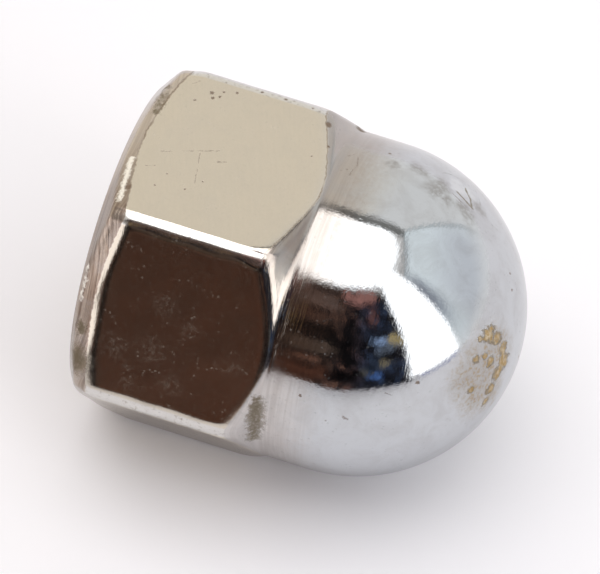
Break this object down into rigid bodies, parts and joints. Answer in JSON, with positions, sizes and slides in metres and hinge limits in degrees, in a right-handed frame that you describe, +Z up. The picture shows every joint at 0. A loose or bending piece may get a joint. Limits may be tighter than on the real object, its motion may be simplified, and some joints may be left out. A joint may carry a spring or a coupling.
{
  "type": "cap nut",
  "caption": "Hexagon cap nut with a closed polished dome, chamfered face ends and a blind threaded hole, bright plated and worn.",
  "frame": {"origin": "on the supporting surface, below the middle of the nut as it lies on one flat", "axes": "+X along the nut's axis from the seat to the dome's tip, +Z up from the flat it lies on, so the flats above and below are level; +Y across the corners"},
  "size_m": [0.0122, 0.0114, 0.01],
  "materials": {
    "chrome": "polished bright plating, worn and stained in places"
  },
  "bodies": {
    "root": {"cap_nut": "chrome"}
  },
  "joints": []
}
